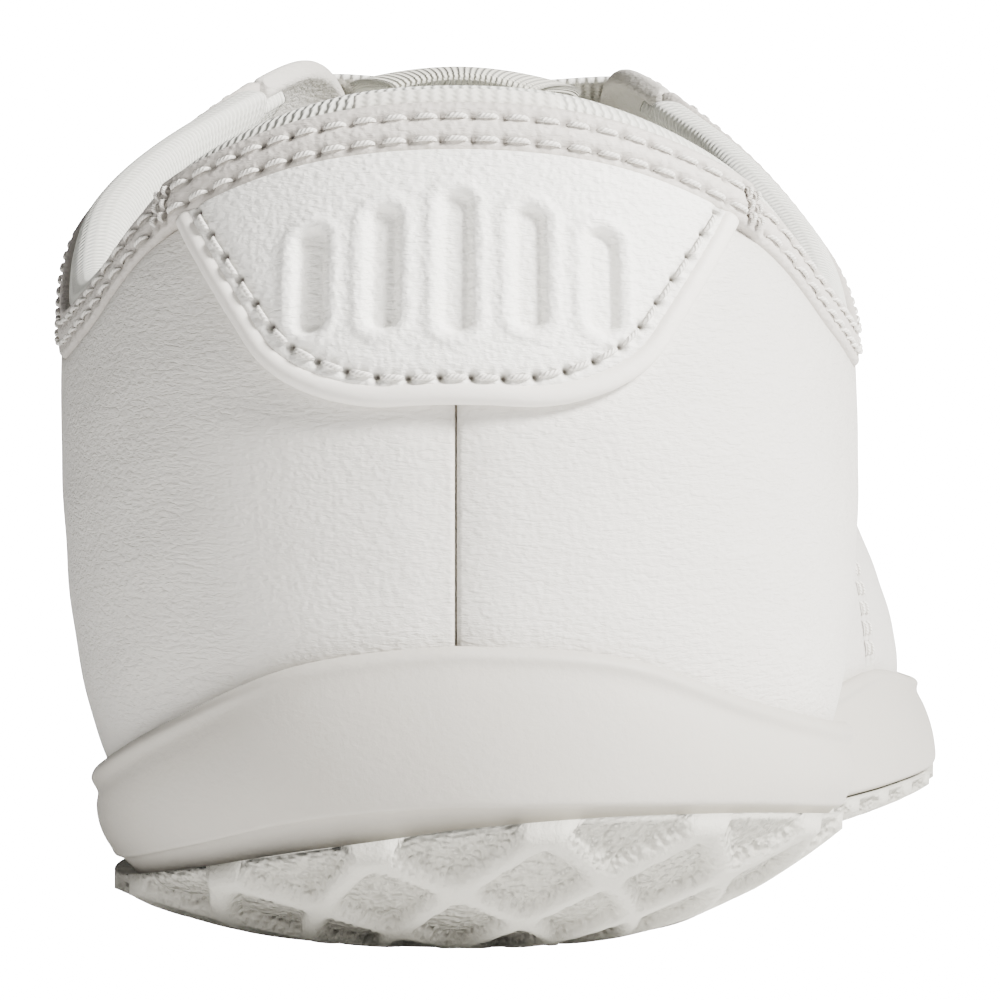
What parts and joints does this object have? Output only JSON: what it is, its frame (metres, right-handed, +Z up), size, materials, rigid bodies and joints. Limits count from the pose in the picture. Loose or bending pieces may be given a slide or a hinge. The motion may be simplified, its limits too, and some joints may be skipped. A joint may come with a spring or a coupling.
{
  "type": "training shoe",
  "caption": "Low soft cheer and training shoe for the right foot: wide toe, padded collar, stitched heel patch, held flat lacing and thin rounded rubber sole.",
  "frame": {"origin": "on the ground under the middle of the shoe's box", "axes": "+Y from the heel to the toe, +X to the outer (lateral) side of a right shoe, +Z up"},
  "size_m": [0.1064, 0.264, 0.0859],
  "materials": {
    "white_leather": "fine grained, matt",
    "trim_leather": "smooth, matt",
    "lining_textile": "ribbed knit",
    "tongue_textile": "padded knit",
    "lace": "flat woven",
    "foam": "soft open-cell foam",
    "sole_rubber": "smooth, matt",
    "tread_rubber": "pebbled, matt",
    "board": "pressed fibre board"
  },
  "bodies": {
    "shoe": {"outsole_tread": "tread_rubber", "midsole_cup": "sole_rubber", "insole_board": "board", "sock_liner": "lining_textile", "quarter_lateral": "white_leather", "quarter_medial": "white_leather", "vamp": "white_leather", "eyestay_lateral": "white_leather", "eyestay_medial": "white_leather", "tongue": "tongue_textile", "lace_bar_1": "lace", "lace_bar_2": "lace", "lace_bar_3": "lace", "lace_bar_4": "lace", "lace_bar_5": "lace", "collar_binding_lateral": "trim_leather", "collar_binding_medial": "trim_leather", "collar_foam": "foam", "collar_lining": "lining_textile", "vamp_lining": "lining_textile", "heel_counter": "board", "toe_puff": "board", "heel_band": "trim_leather", "heel_patch": "white_leather", "heel_patch_piping": "trim_leather", "heel_tape": "lining_textile"},
    "tongue_flap": {"tongue_tip": "tongue_textile"}
  },
  "joints": [
    {"name": "tongue_fold", "type": "hinge", "parent": "shoe", "child": "tongue_flap", "pos_m": [-0.0075, -0.0299, 0.0849], "axis": [-1, 0, 0], "range_deg": [0, 75]}
  ]
}
